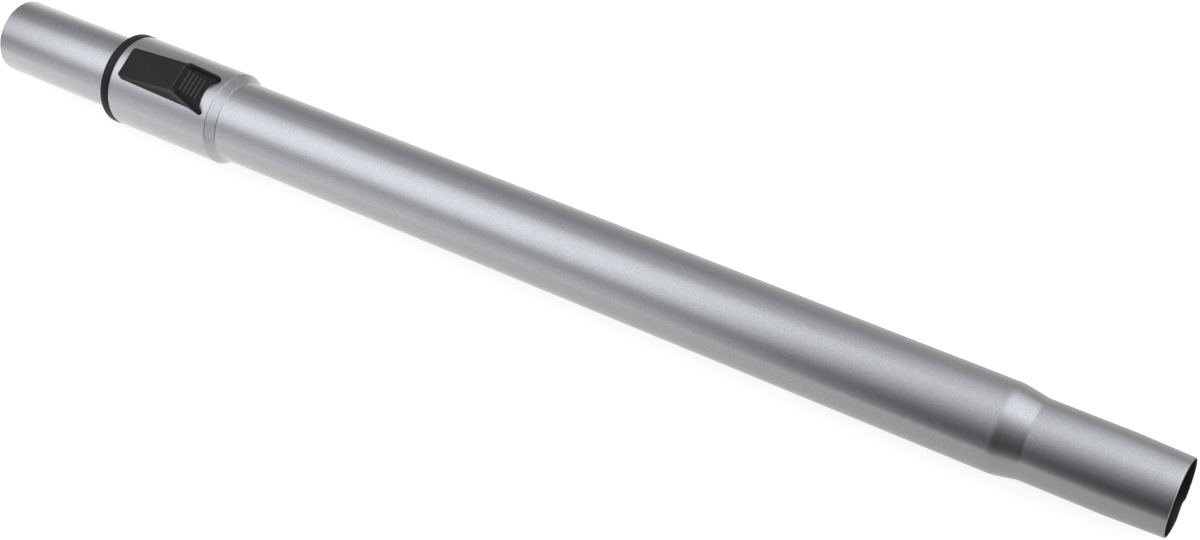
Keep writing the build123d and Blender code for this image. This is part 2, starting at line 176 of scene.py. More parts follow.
def add_node(tree: bpy.types.NodeTree, kind: str, links: dict[str | int, object] | None = None,
             **settings: object) -> bpy.types.Node:
    """Add a shader node with its settings, its values and its incoming links.

    Args:
        tree: The node tree that gets the node.
        kind: Blender's name of the node's type.
        links: For each input, by name or number, an output socket or a plain value.
        settings: Properties of the node itself.

    Returns:
        The new node.
    """
    node = tree.nodes.new(kind)
    for name, value in settings.items():
        setattr(node, name, value)
    for name, value in (links or {}).items():
        if isinstance(value, bpy.types.NodeSocket):
            tree.links.new(value, node.inputs[name])
        else:
            node.inputs[name].default_value = value
    return node


@dataclass(frozen=True)
class Finish:
    """What every finish of the wand has: a name, and a way to become a material.

    Attributes:
        name: The material's name.
        colour: Main sRGB colour of the surface.
        roughness: How much the surface blurs a reflection, from 0 to 1.
    """

    name: str
    colour: str
    roughness: float

    def start(self) -> tuple[bpy.types.Material, bpy.types.Node, bpy.types.NodeSocket]:
        """Make an empty material with a principled shader and the piece's own coordinates.

        Returns:
            The material, its shader and the socket of Object coordinates.
        """
        material = bpy.data.materials.new(self.name)
        material.use_nodes = True
        tree = material.node_tree
        tree.nodes.clear()
        shader = add_node(tree, "ShaderNodeBsdfPrincipled",
                          {"Base Color": linear(self.colour), "Roughness": self.roughness})
        add_node(tree, "ShaderNodeOutputMaterial", {"Surface": shader.outputs["BSDF"]})
        place = add_node(tree, "ShaderNodeTexCoord").outputs["Object"]
        return material, shader, place

    def material(self) -> bpy.types.Material:
        """Make the finish's material, which each finish does in its own way."""
        raise NotImplementedError


@dataclass(frozen=True)
class FlakeLacquer(Finish):
    """Silver metallic lacquer: aluminium flakes sprayed in a clear binder over steel tube.

    The flakes lie nearly flat, so it reads as a satin metal with a fine sparkle, and the
    binder adds a weak smooth gloss over it.

    Attributes:
        flake_size: Spacing of the flakes in millimetres. Real ones are under 0.1 mm: they are
            drawn coarser, or no sparkle would show at this size of picture.
        flake_shades: Darkest and lightest flake, as sRGB colours.
        flake_tilt: Strength of the flakes' tilt, from 0 to 1.
        flake_height: Height in millimetres by which the flakes differ.
        orange_peel: Width of the sprayed film's soft waves, in millimetres.
        wave_strength: Strength of those waves, from 0 to 1.
        wave_height: Their height in millimetres.
        binder: How much of the surface the clear binder covers, from 0 to 1.
        binder_roughness: How much the binder blurs a reflection, from 0 to 1.
    """

    flake_size: float = 0.45
    flake_shades: tuple[str, str] = ("#B1B1B3", "#BDBDBF")
    flake_tilt: float = 0.06
    flake_height: float = 0.02
    orange_peel: float = 2.2
    wave_strength: float = 0.10
    wave_height: float = 0.05
    binder: float = 0.6
    binder_roughness: float = 0.08

    def material(self) -> bpy.types.Material:
        """Make the lacquer: flakes with random shade and tilt under a softly waved film.

        Returns:
            The material.
        """
        material, shader, place = self.start()
        tree = material.node_tree
        flakes = add_node(tree, "ShaderNodeTexVoronoi",
                          {"Vector": place, "Scale": 1 / (self.flake_size * MM)}, feature="F1")
        grey = add_node(tree, "ShaderNodeSeparateColor", {"Color": flakes.outputs["Color"]})
        darkest, lightest = (linear(shade) for shade in self.flake_shades)
        shades = add_node(tree, "ShaderNodeMix",
                          {MIX_SHARE: grey.outputs["Red"], MIX_FIRST: darkest, MIX_SECOND: lightest},
                          data_type="RGBA")
        film = add_node(tree, "ShaderNodeTexNoise",
                        {"Vector": place, "Scale": 1 / (self.orange_peel * MM), "Detail": 1.0})
        tilt = add_node(tree, "ShaderNodeBump",
                        {"Height": grey.outputs["Green"], "Strength": self.flake_tilt,
                         "Distance": self.flake_height * MM})
        waves = add_node(tree, "ShaderNodeBump",
                         {"Height": film.outputs["Fac"], "Strength": self.wave_strength,
                          "Distance": self.wave_height * MM, "Normal": tilt.outputs["Normal"]})
        tree.links.new(shades.outputs[MIX_BLEND], shader.inputs["Base Color"])
        tree.links.new(waves.outputs["Normal"], shader.inputs["Normal"])
        shader.inputs["Metallic"].default_value = 1.0
        shader.inputs["Coat Weight"].default_value = self.binder
        shader.inputs["Coat Roughness"].default_value = self.binder_roughness
        return material


@dataclass(frozen=True)
class MillSteel(Finish):
    """Bare inside of a cold drawn steel tube: dull grey, with faint lines along the tube.

    Attributes:
        line_width: Spacing of the drawing lines round the tube, in millimetres.
        line_length: Length of the drawing lines, in millimetres.
        dark: sRGB colour of the darkest lines.
    """

    line_width: float = 0.6
    line_length: float = 30.0
    dark: str = "#6E6E70"

    def material(self) -> bpy.types.Material:
        """Make the steel, with a noise stretched along X for the drawing lines.

        Returns:
            The material.
        """
        material, shader, place = self.start()
        tree = material.node_tree
        stretched = add_node(tree, "ShaderNodeMapping",
                             {"Vector": place, "Scale": (self.line_width / self.line_length, 1.0, 1.0)})
        lines = add_node(tree, "ShaderNodeTexNoise",
                         {"Vector": stretched.outputs["Vector"], "Scale": 1 / (self.line_width * MM),
                          "Detail": 3.0})
        shades = add_node(tree, "ShaderNodeMix",
                          {MIX_SHARE: lines.outputs["Fac"], MIX_FIRST: linear(self.dark),
                           MIX_SECOND: linear(self.colour)}, data_type="RGBA")
        tree.links.new(shades.outputs[MIX_BLEND], shader.inputs["Base Color"])
        shader.inputs["Metallic"].default_value = 1.0
        return material


@dataclass(frozen=True)
class GrainedPlastic(Finish):
    """Moulded plastic with the fine spark eroded grain of its mould.

    Attributes:
        grain: Size of the grain in millimetres.
        depth: Depth of the grain in millimetres.
        relief: Strength of the grain's relief, from 0 to 1.
        worn: sRGB colour of the grain's tops, drawn lighter as a painted highlight where they catch more
            light.
        gloss: Strength of the shader's reflection, where 0.5 is smooth plastic's.
    """

    grain: float = 0.35
    depth: float = 0.012
    relief: float = 0.6
    # Painted highlight: the grain's tops are drawn in this lighter colour
    worn: str = "#2B2B2E"
    gloss: float = 0.5

    def material(self) -> bpy.types.Material:
        """Make the plastic, with one noise for its colour, lighter on the grain's tops as a painted
        highlight, and for the relief of its grain.

        Returns:
            The material.
        """
        material, shader, place = self.start()
        tree = material.node_tree
        grain = add_node(tree, "ShaderNodeTexNoise",
                         {"Vector": place, "Scale": 1 / (self.grain * MM), "Detail": 3.0, "Roughness": 0.6})
        # The grain's tops take the lighter colour as a painted highlight
        shades = add_node(tree, "ShaderNodeMix",
                          {MIX_SHARE: grain.outputs["Fac"], MIX_FIRST: linear(self.colour),
                           MIX_SECOND: linear(self.worn)}, data_type="RGBA")
        bumps = add_node(tree, "ShaderNodeBump",
                         {"Height": grain.outputs["Fac"], "Strength": self.relief,
                          "Distance": self.depth * MM})
        tree.links.new(shades.outputs[MIX_BLEND], shader.inputs["Base Color"])
        tree.links.new(bumps.outputs["Normal"], shader.inputs["Normal"])
        shader.inputs["Specular IOR Level"].default_value = self.gloss
        return material


@dataclass(frozen=True)
class PressedFelt(Finish):
    """Pressed wool felt: matted fibres, with no gloss and a soft pale edge to the light.

    Attributes:
        fibre: Size of the fibre clumps in millimetres.
        depth: Depth between the clumps in millimetres.
        relief: Strength of the clumps' relief, from 0 to 1.
        pale: sRGB colour of the fibres that stand proud.
        fuzz: How strongly the proud fibres catch the light, from 0 to 1.
    """

    fibre: float = 0.5
    depth: float = 0.1
    relief: float = 0.8
    pale: str = "#8A8A8C"
    fuzz: float = 0.4

    def material(self) -> bpy.types.Material:
        """Make the felt, with a rough noise for its clumps.

        Returns:
            The material.
        """
        material, shader, place = self.start()
        tree = material.node_tree
        clumps = add_node(tree, "ShaderNodeTexNoise",
                          {"Vector": place, "Scale": 1 / (self.fibre * MM), "Detail": 4.0, "Roughness": 0.7})
        shades = add_node(tree, "ShaderNodeMix",
                          {MIX_SHARE: clumps.outputs["Fac"], MIX_FIRST: linear(self.colour),
                           MIX_SECOND: linear(self.pale)}, data_type="RGBA")
        bumps = add_node(tree, "ShaderNodeBump",
                         {"Height": clumps.outputs["Fac"], "Strength": self.relief,
                          "Distance": self.depth * MM})
        tree.links.new(shades.outputs[MIX_BLEND], shader.inputs["Base Color"])
        tree.links.new(bumps.outputs["Normal"], shader.inputs["Normal"])
        shader.inputs["Sheen Weight"].default_value = self.fuzz
        return material


@dataclass(frozen=True)
class Palette:
    """The materials of the wand, made once and shared by its pieces."""

    lacquer: bpy.types.Material
    bore: bpy.types.Material
    plastic: bpy.types.Material
    worn_plastic: bpy.types.Material
    acetal: bpy.types.Material
    steel: bpy.types.Material
    felt: bpy.types.Material

    @classmethod
    def mixed(cls) -> "Palette":
        """Make every material from its finish.

        Returns:
            The palette.
        """
        return cls(
            # Silver flake lacquer: satin metal, faintly cool
            lacquer=FlakeLacquer("silver_flake_lacquer", "#B7B7B9", 0.26).material(),
            # Cold drawn steel, left bare inside the tubes: dull, and darkened far below bare steel as painted
            # shade inside the tubes
            bore=MillSteel("mill_steel_with_painted_shade", "#58585A", 0.5, dark="#3A3A3C").material(),
            # Black ABS with a spark eroded grain: deep grey with a broad soft sheen
            plastic=GrainedPlastic("black_grained_abs", "#100E13", 0.48, worn="#17151A",
                                   gloss=0.36).material(),
            # The same ABS on the tops of the ribs and the bead: smoother where thumbs polish it, and lighter
            # in colour as a painted highlight
            worn_plastic=GrainedPlastic("thumb_polished_abs_painted_highlight", "#38363A", 0.3, depth=0.004,
                                        worn="#403E42").material(),
            # Natural acetal: milky white, slightly waxy
            acetal=GrainedPlastic("natural_acetal", "#DEDCD3", 0.38, worn="#E8E6DF").material(),
            # Ground and drawn steel of the latch and springs: bright, with fine lines
            steel=MillSteel("ground_steel", "#C2C3C5", 0.28, dark="#A9AAAC").material(),
            # Grey wool felt: no gloss
            felt=PressedFelt("grey_wool_felt", "#6A6A6C", 0.9).material(),
        )


@dataclass(frozen=True)
class Corner:
    """A corner of a turned outline.

    Attributes:
        station: Its station in millimetres.
        radius: Its distance from the wand's axis in millimetres.
        cut: How far from the corner its rounding starts, in millimetres.
    """

    station: float
    radius: float
    cut: float = 0.0

    def point(self) -> Vector:
        """Give the corner as a flat vector of station and radius."""
        return Vector((self.station, self.radius))


def outline(corners: Sequence[Corner], steps: int = 5) -> list[Vector]:
    """Round the corners of a closed outline.

    Args:
        corners: The corners in order.
        steps: Points on each rounding.

    Returns:
        The outline's points, as flat vectors of station and radius.
    """
    points: list[Vector] = []
    for index, corner in enumerate(corners):
        here = corner.point()
        if not corner.cut:
            points.append(here)
            continue
        before = (corners[index - 1].point() - here).normalized() * corner.cut
        after = (corners[(index + 1) % len(corners)].point() - here).normalized() * corner.cut
        points += interpolate_bezier(here + before, here + before * (1 - ROUND_HANDLE),
                                     here + after * (1 - ROUND_HANDLE), here + after, steps)
    return [Vector(p[:2]) for p in points]


def swell(start: Corner, end: Corner, steps: int = 12) -> list[Vector]:
    """Draw the smooth line of a tube that widens between two corners.

    Args:
        start: Where the widening starts, with its run into the narrow wall as its cut.
        end: Where it ends, with its run into the wide wall as its cut.
        steps: Points along the line.

    Returns:
        The line's points, as flat vectors of station and radius. The first and the last lie on
        the plain walls, so that the long walls keep their own shading.
    """
    low = start.point()
    high = end.point()
    line = interpolate_bezier(low - Vector((start.cut, 0)), low, high, high + Vector((end.cut, 0)), steps)
    guard = Vector((SWELL_GUARD, 0))
    return [line[0].to_2d() - guard, *(p.to_2d() for p in line), line[-1].to_2d() + guard]


def turned(datum: Datum, points: Iterable[Vector],
           sweeps: Sequence[tuple[float, int]]) -> bmesh.types.BMesh:
    """Turn a closed outline round the wand's axis, in sweeps of their own fineness.

    Args:
        datum: The wand's datum.
        points: The closed outline, as flat vectors of station and radius.
        sweeps: Degrees and steps of each sweep. The first is centred on the wand's crown, and
            together they make a full turn.

    Returns:
        The turned shell, closed and with its faces outwards.
    """
    shell = bmesh.new()
    verts = [shell.verts.new(datum.at(p.x, 0, p.y)) for p in points]
    edges = [shell.edges.new(pair) for pair in zip(verts, verts[1:] + verts[:1])]
    bmesh.ops.rotate(shell, verts=verts, cent=datum.at(0),
                     matrix=Matrix.Rotation(-math.radians(sweeps[0][0]) / 2, 3, "X"))
    section = verts + edges
    for degrees, steps in sweeps:
        made = bmesh.ops.spin(shell, geom=section, cent=datum.at(0), axis=(1, 0, 0),
                              angle=math.radians(degrees), steps=steps, use_merge=degrees == FULL_TURN)
        section = made["geom_last"]
    bmesh.ops.remove_doubles(shell, verts=shell.verts, dist=WELD)
    bmesh.ops.recalc_face_normals(shell, faces=shell.faces)
    return shell


def box_cutter(low: Vector, high: Vector) -> bmesh.types.BMesh:
    """Make a box between two corners.

    Args:
        low: Lowest corner in metres.
        high: Highest corner in metres.

    Returns:
        The box.
    """
    box = bmesh.new()
    bmesh.ops.create_cube(box, size=1.0)
    bmesh.ops.scale(box, vec=high - low, verts=box.verts)
    bmesh.ops.translate(box, vec=(low + high) / 2, verts=box.verts)
    return box


def as_object(mesh: bmesh.types.BMesh, name: str) -> bpy.types.Object:
    """Turn a bmesh into an object of the scene, at the origin.

    Args:
        mesh: The bmesh, which is freed.
        name: The object's name.

    Returns:
        The object.
    """
    data = bpy.data.meshes.new(name)
    mesh.to_mesh(data)
    mesh.free()
    made = bpy.data.objects.new(name, data)
    bpy.context.scene.collection.objects.link(made)
    return made


def apply_modifiers(piece: bpy.types.Object) -> None:
    """Make a piece's modifiers part of its mesh.

    Args:
        piece: The piece, whose mesh changes.
    """
    bpy.context.view_layer.update()
    graph = bpy.context.evaluated_depsgraph_get()
    finished = bpy.data.meshes.new_from_object(piece.evaluated_get(graph))
    piece.modifiers.clear()
    piece.data = finished


def carve(piece: bpy.types.Object, cutter: bmesh.types.BMesh, how: Cut = Cut.REMOVE) -> None:
    """Cut a shape out of a piece, or join it on.

    Args:
        piece: The piece, whose mesh changes.
        cutter: The shape, which is freed.
        how: Whether it is cut out or joined on.
    """
    tool = as_object(cutter, "cutter")
    step = piece.modifiers.new("carve", "BOOLEAN")
    step.operation = how.value
    step.solver = "EXACT"
    step.object = tool
    apply_modifiers(piece)
    bpy.data.objects.remove(tool)


def dress(piece: bpy.types.Object, materials: Sequence[bpy.types.Material], slot: Slot, body: Body,
          sharp: float = 35.0) -> bpy.types.Object:
    """Give a piece its smooth shading, materials and body.

    Args:
        piece: The piece.
        materials: Its materials in the order of its faces' indices.
        slot: The record's slot for the piece's finish; it is not used.
        body: The body that it rides on.
        sharp: Angle in degrees above which an edge stays crisp.

    Returns:
        The piece.
    """
    indices = [face.material_index for face in piece.data.polygons]
    piece.data.materials.clear()
    for material in materials:
        piece.data.materials.append(material)
    # Clearing the slots sets every face back to the first one
    piece.data.polygons.foreach_set("material_index", indices)
    piece.data.shade_smooth()
    piece.data.set_sharp_from_angle(angle=math.radians(sharp))
    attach(piece, body.value)
    LOG.info("%s: %d faces on %s", piece.name, len(piece.data.polygons), body.value)
    return piece


def line_bore(piece: bpy.types.Object, datum: Datum, lean: float = 0.5) -> None:
    """Give the faces that look at the wand's axis the piece's second material, which for both tubes is the
    bore steel darkened as painted shade.

    Args:
        piece: The tube.
        datum: The wand's datum.
        lean: Least part of a face's unit normal that points at the axis.
    """
    for face in piece.data.polygons:
        out = face.center - Vector((face.center.x, 0, datum.axis))
        if face.normal.dot(out.normalized()) < -lean:
            face.material_index = 1


@dataclass(frozen=True)
class Sizes:
    """Sizes that several pieces share, in millimetres.

    Attributes:
        wall: Wall of both tubes.
        spigot: Radius of the nozzle spigot.
        tube: Radius of the outer tube.
        collar: Radius of the collar.
        inner: Radius of the inner tube.
        socket: Radius of the hose socket.
        ring: Radius of the black end ring.
        collar_end: Station of the collar's cut end.
        ring_end: Station of the ring's far face.
        length: Station of the hose mouth.
    """

    wall: float = 0.6
    spigot: float = 17.5
    tube: float = 19.5
    collar: float = 22.4
    inner: float = 17.8
    socket: float = 18.1
    ring: float = 22.65
    collar_end: float = 528.5
    ring_end: float = 533.7
    length: float = 604.0


@dataclass
class OuterTube:
    """The outer steel tube: nozzle spigot, shoulder, long barrel, flare and collar."""

    datum: Datum
    sizes: Sizes = field(default_factory=Sizes)
    mouth_radius: float = 16.75
    lead_in: float = 24.0
    shoulder: tuple[float, float] = (61.1, 70.4)
    shoulder_runs: tuple[float, float] = (1.1, 2.2)
    flare: tuple[float, float] = (464.5, 468.4)
    flare_runs: tuple[float, float] = (0.12, 0.1)
    rim_round: float = 0.3
    rim_walls: float = 2.0
    slot: tuple[float, float] = (482.7, 510.8)
    slot_half: float = 5.4
    dent_depth: float = 0.5
    dent_start: tuple[float, float] = (162.0, 170.0)
    dent_end: tuple[float, float] = (171.0, 200.0)
    segments: int = 256

    def skin(self, depth: float) -> list[Vector]:
        """Draw one skin of the wall, from the lead-in to the collar.

        Args:
            depth: How deep in the wall the skin lies, in millimetres.

        Returns:
            The skin's points, as flat vectors of station and radius.
        """
        line = [Vector((self.lead_in, self.sizes.spigot - depth))]
        line += swell(Corner(self.shoulder[0], self.sizes.spigot - depth, self.shoulder_runs[0]),
                      Corner(self.shoulder[1], self.sizes.tube - depth, self.shoulder_runs[1]))
        line += swell(Corner(self.flare[0], self.sizes.tube - depth, self.flare_runs[0]),
                      Corner(self.flare[1], self.sizes.collar - depth, self.flare_runs[1]))
        return line

    def rim(self, station: float, radius: float, out: int) -> list[Vector]:
        """Round both edges of a cut end, from the outer skin round to the inner one.

        Args:
            station: Station of the cut end.
            radius: Outer radius there.
            out: 1 where the end faces the hose, -1 where it faces the nozzle.

        Returns:
            The rim's points from the outer skin to the inner one.
        """
        reach = station - out * self.sizes.wall * self.rim_walls
        corners = [Corner(reach, radius), Corner(station, radius, self.rim_round),
                   Corner(station, radius - self.sizes.wall, self.rim_round),
                   Corner(reach, radius - self.sizes.wall)]
        return outline(corners)

    def dent(self, shell: bmesh.types.BMesh) -> None:
        """Push the mouth's rim back a little at its underside, where the photograph shows a dent.

        Args:
            shell: The turned tube, whose first vertices past the mouth move.
        """
        reach = self.sizes.wall * self.rim_walls
        for vert in shell.verts:
            station = (self.datum.mouth - vert.co.x) / MM
            if station >= reach:
                continue
            angle = math.degrees(math.atan2(vert.co.y, vert.co.z - self.datum.axis)) % 360
            share = (ramp(angle - self.dent_start[0], self.dent_start[1] - self.dent_start[0])
                     * ramp(self.dent_end[1] - angle, self.dent_end[1] - self.dent_end[0]))
            vert.co.x -= self.dent_depth * share * (1 - station / reach) * MM

    def build(self, palette: Palette) -> bpy.types.Object:
        """Turn the tube, dent its rim, cut its slot and dress it.

        Args:
            palette: The wand's materials.

        Returns:
            The dressed tube.
        """
        near = self.rim(0, self.mouth_radius, -1)
        far = self.rim(self.sizes.collar_end, self.sizes.collar, 1)
        points = near[::-1] + self.skin(0) + far + self.skin(self.sizes.wall)[::-1]
        shell = turned(self.datum, points, [(FULL_TURN, self.segments)])
        self.dent(shell)
        piece = as_object(shell, "lacquered_outer_tube")
        at = self.datum.at
        carve(piece, box_cutter(at(self.slot[1], -self.slot_half, self.sizes.inner),
                                at(self.slot[0], self.slot_half, self.sizes.ring)))
        # Painted shade: the inside of the tube takes the darkened bore steel
        line_bore(piece, self.datum)
        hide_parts("outer_tube")
        return dress(piece, [palette.lacquer, palette.bore], Slot.LACQUER, Body.OUTER)


@dataclass
class InnerTube:
    """The inner steel tube, with its pressed key channel, its pockets and its hose socket."""

    datum: Datum
    sizes: Sizes = field(default_factory=Sizes)
    start: float = 81.9
    socket_start: float = 532.7
    socket_flare: float = 2.0
    rim_round: float = 0.25
    flare_round: float = 0.3
    start_round: float = 0.1
    round_steps: int = 5
    channel_end: float = 507.9
    channel_half: float = 4.5
    channel_floor: float = 16.3
    pocket_depth: float = 1.6
    pocket_half_length: float = 3.2
    pocket_half_width: float = 3.4
    draft: float = 0.42
    latch_station: float = 495.0
    detents: int = 13
    pitch: float = 30.0
    pressed_wall: float = 0.42
    pressed_margin: float = 1.0
    edge_rows: tuple[float, ...] = (-0.35, -0.1, 0.15, 0.4, 0.7)
    crown_degrees: float = 40.0
    crown_steps: int = 56
    rest_steps: int = 120

    def pocket_stations(self) -> list[float]:
        """List the stations of the pockets' middles."""
        return [self.latch_station - index * self.pitch for index in range(self.detents)]

    def rows(self) -> list[float]:
        """List the stations where the pressing needs a row of vertices.

        Returns:
            The stations in order, close together where the channel or a pocket ends.
        """
        spread = [self.pocket_half_length - offset for offset in self.edge_rows]
        rows = [middle + sign * reach for middle in self.pocket_stations()
                for sign in (-1, 1) for reach in spread]
        rows += self.pocket_stations()
        rows += [self.channel_end - offset for offset in self.edge_rows]
        return sorted(rows)

    def press(self, station: float, side: float, grown: float) -> float:
        """Give the height of the press tool's face over a point of the tube.

        Args:
            station: The point's station.
            side: Its distance from the tube's upright plane.
            grown: The wall by which the tool is grown for the inner skin.

        Returns:
            Height of the pressed skin above the axis, or infinity where nothing is pressed.
        """
        slope = self.draft
        across = ramp(self.channel_half + grown - abs(side), slope)
        along = ramp(self.channel_end + grown - station, slope)
        channel = across * along
        if not channel:
            return math.inf
        nearest = min(abs(station - middle) for middle in self.pocket_stations())
        pocket = (ramp(self.pocket_half_length + grown - nearest, slope)
                  * ramp(self.pocket_half_width + grown - abs(side), slope))
        edge_height = math.sqrt((self.sizes.inner - grown) ** 2 - side**2)
        floor = self.channel_floor - grown
        return edge_height + (floor - edge_height) * channel - self.pocket_depth * pocket

    def build(self, palette: Palette) -> bpy.types.Object:
        """Turn the tube, press its crown and dress it.

        Args:
            palette: The wand's materials.

        Returns:
            The dressed tube.
        """
        sizes = self.sizes
        flare_end = self.socket_start + self.socket_flare
        inner_skin = sizes.inner - sizes.wall
        rows = self.rows()
        socket = [
            Corner(flare_end, sizes.socket, self.flare_round),
            Corner(sizes.length, sizes.socket, self.rim_round),
            Corner(sizes.length, sizes.socket - sizes.wall, self.rim_round),
            Corner(flare_end, sizes.socket - sizes.wall, self.flare_round),
            Corner(self.socket_start, inner_skin, self.flare_round),
        ]
        cut_end = [
            Corner(self.start, inner_skin, self.start_round),
            Corner(self.start, sizes.inner, self.start_round),
        ]
        foot = Corner(self.socket_start, sizes.inner, self.flare_round)
        line = outline([*socket, *cut_end, foot], self.round_steps)
        inner_rows = len(socket) * self.round_steps
        outer_rows = inner_rows + len(cut_end) * self.round_steps
        points = line[:inner_rows]
        points += [Vector((row, inner_skin)) for row in reversed(rows)]
        points += line[inner_rows:outer_rows]
        points += [Vector((row, sizes.inner)) for row in rows]
        points += line[outer_rows:]
        shell = turned(self.datum, points, [(self.crown_degrees, self.crown_steps),
                                            (FULL_TURN - self.crown_degrees, self.rest_steps)])
        between = (sizes.inner + inner_skin) / 2 * MM
        for vert in shell.verts:
            height = vert.co.z - self.datum.axis
            station = (self.datum.mouth - vert.co.x) / MM
            if height < 0 or station > self.channel_end + self.pressed_margin:
                continue
            outside = math.hypot(vert.co.y, height) > between
            pressed = self.press(station, vert.co.y / MM, 0.0 if outside else self.pressed_wall)
            vert.co.z = self.datum.axis + min(height, pressed * MM)
        piece = as_object(shell, "lacquered_inner_tube")
        # Painted shade: the inside of the tube takes the darkened bore steel
        line_bore(piece, self.datum)
        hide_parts("inner_tube")
        return dress(piece, [palette.lacquer, palette.bore], Slot.LACQUER, Body.INNER, sharp=60.0)


def ramp(distance: float, run: float) -> float:
    """Rise smoothly from 0 to 1 as a distance goes from 0 to a run.

    Args:
        distance: The distance.
        run: The run, in the same unit.

    Returns:
        The share, with no slope at either end.
    """
    share = min(max(distance / run, 0.0), 1.0)
    return share * share * (3 - 2 * share)


@dataclass
class CollarRing:
    """The black plastic ring that closes the collar, with its skirt inside."""

    datum: Datum
    sizes: Sizes = field(default_factory=Sizes)
    bore: float = 18.4
    edge: float = 1.2
    lip: float = 0.3
    step: float = 0.1
    skirt_start: float = 521.5
    skirt_radius: float = 21.75
    skirt_bore: float = 20.25
    round_steps: int = 7
    segments: int = 192

    def build(self, palette: Palette) -> bpy.types.Object:
        """Turn the ring with its rounded flange, and dress it.

        Args:
            palette: The wand's materials.

        Returns:
            The dressed ring.
        """
        near = self.sizes.collar_end
        far = self.sizes.ring_end
        points = outline([
            Corner(near, self.sizes.collar - self.step, self.lip),
            Corner(near + self.edge, self.sizes.ring, self.edge),
            Corner(far, self.sizes.ring, self.edge),
            Corner(far, self.bore, self.lip),
            Corner(near, self.bore, self.lip),
            Corner(near, self.skirt_bore),
            Corner(self.skirt_start, self.skirt_bore),
            Corner(self.skirt_start, self.skirt_radius),
            Corner(near, self.skirt_radius),
        ], self.round_steps)
        piece = as_object(turned(self.datum, points, [(FULL_TURN, self.segments)]), "moulded_collar_ring")
        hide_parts("collar_ring")
        return dress(piece, [palette.plastic], Slot.PLASTIC, Body.OUTER)


@dataclass(frozen=True)
class Facet:
    """A flat side of the slide button.

    Attributes:
        origin: A point on it.
        normal: Its direction, away from the button's inside.
    """

    origin: Vector
    normal: Vector

    @classmethod
    def through(cls, first: Vector, second: Vector, third: Vector, inside: Vector) -> "Facet":
        """Lay a facet through three points.

        Args:
            first: The first point, which becomes the origin.
            second: The second point.
            third: The third point.
            inside: A point inside the button, from which the facet faces away.

        Returns:
            The facet.
        """
        normal = (second - first).cross(third - first).normalized()
        if normal.dot(inside - first) > 0:
            normal.negate()
        return cls(first, normal)


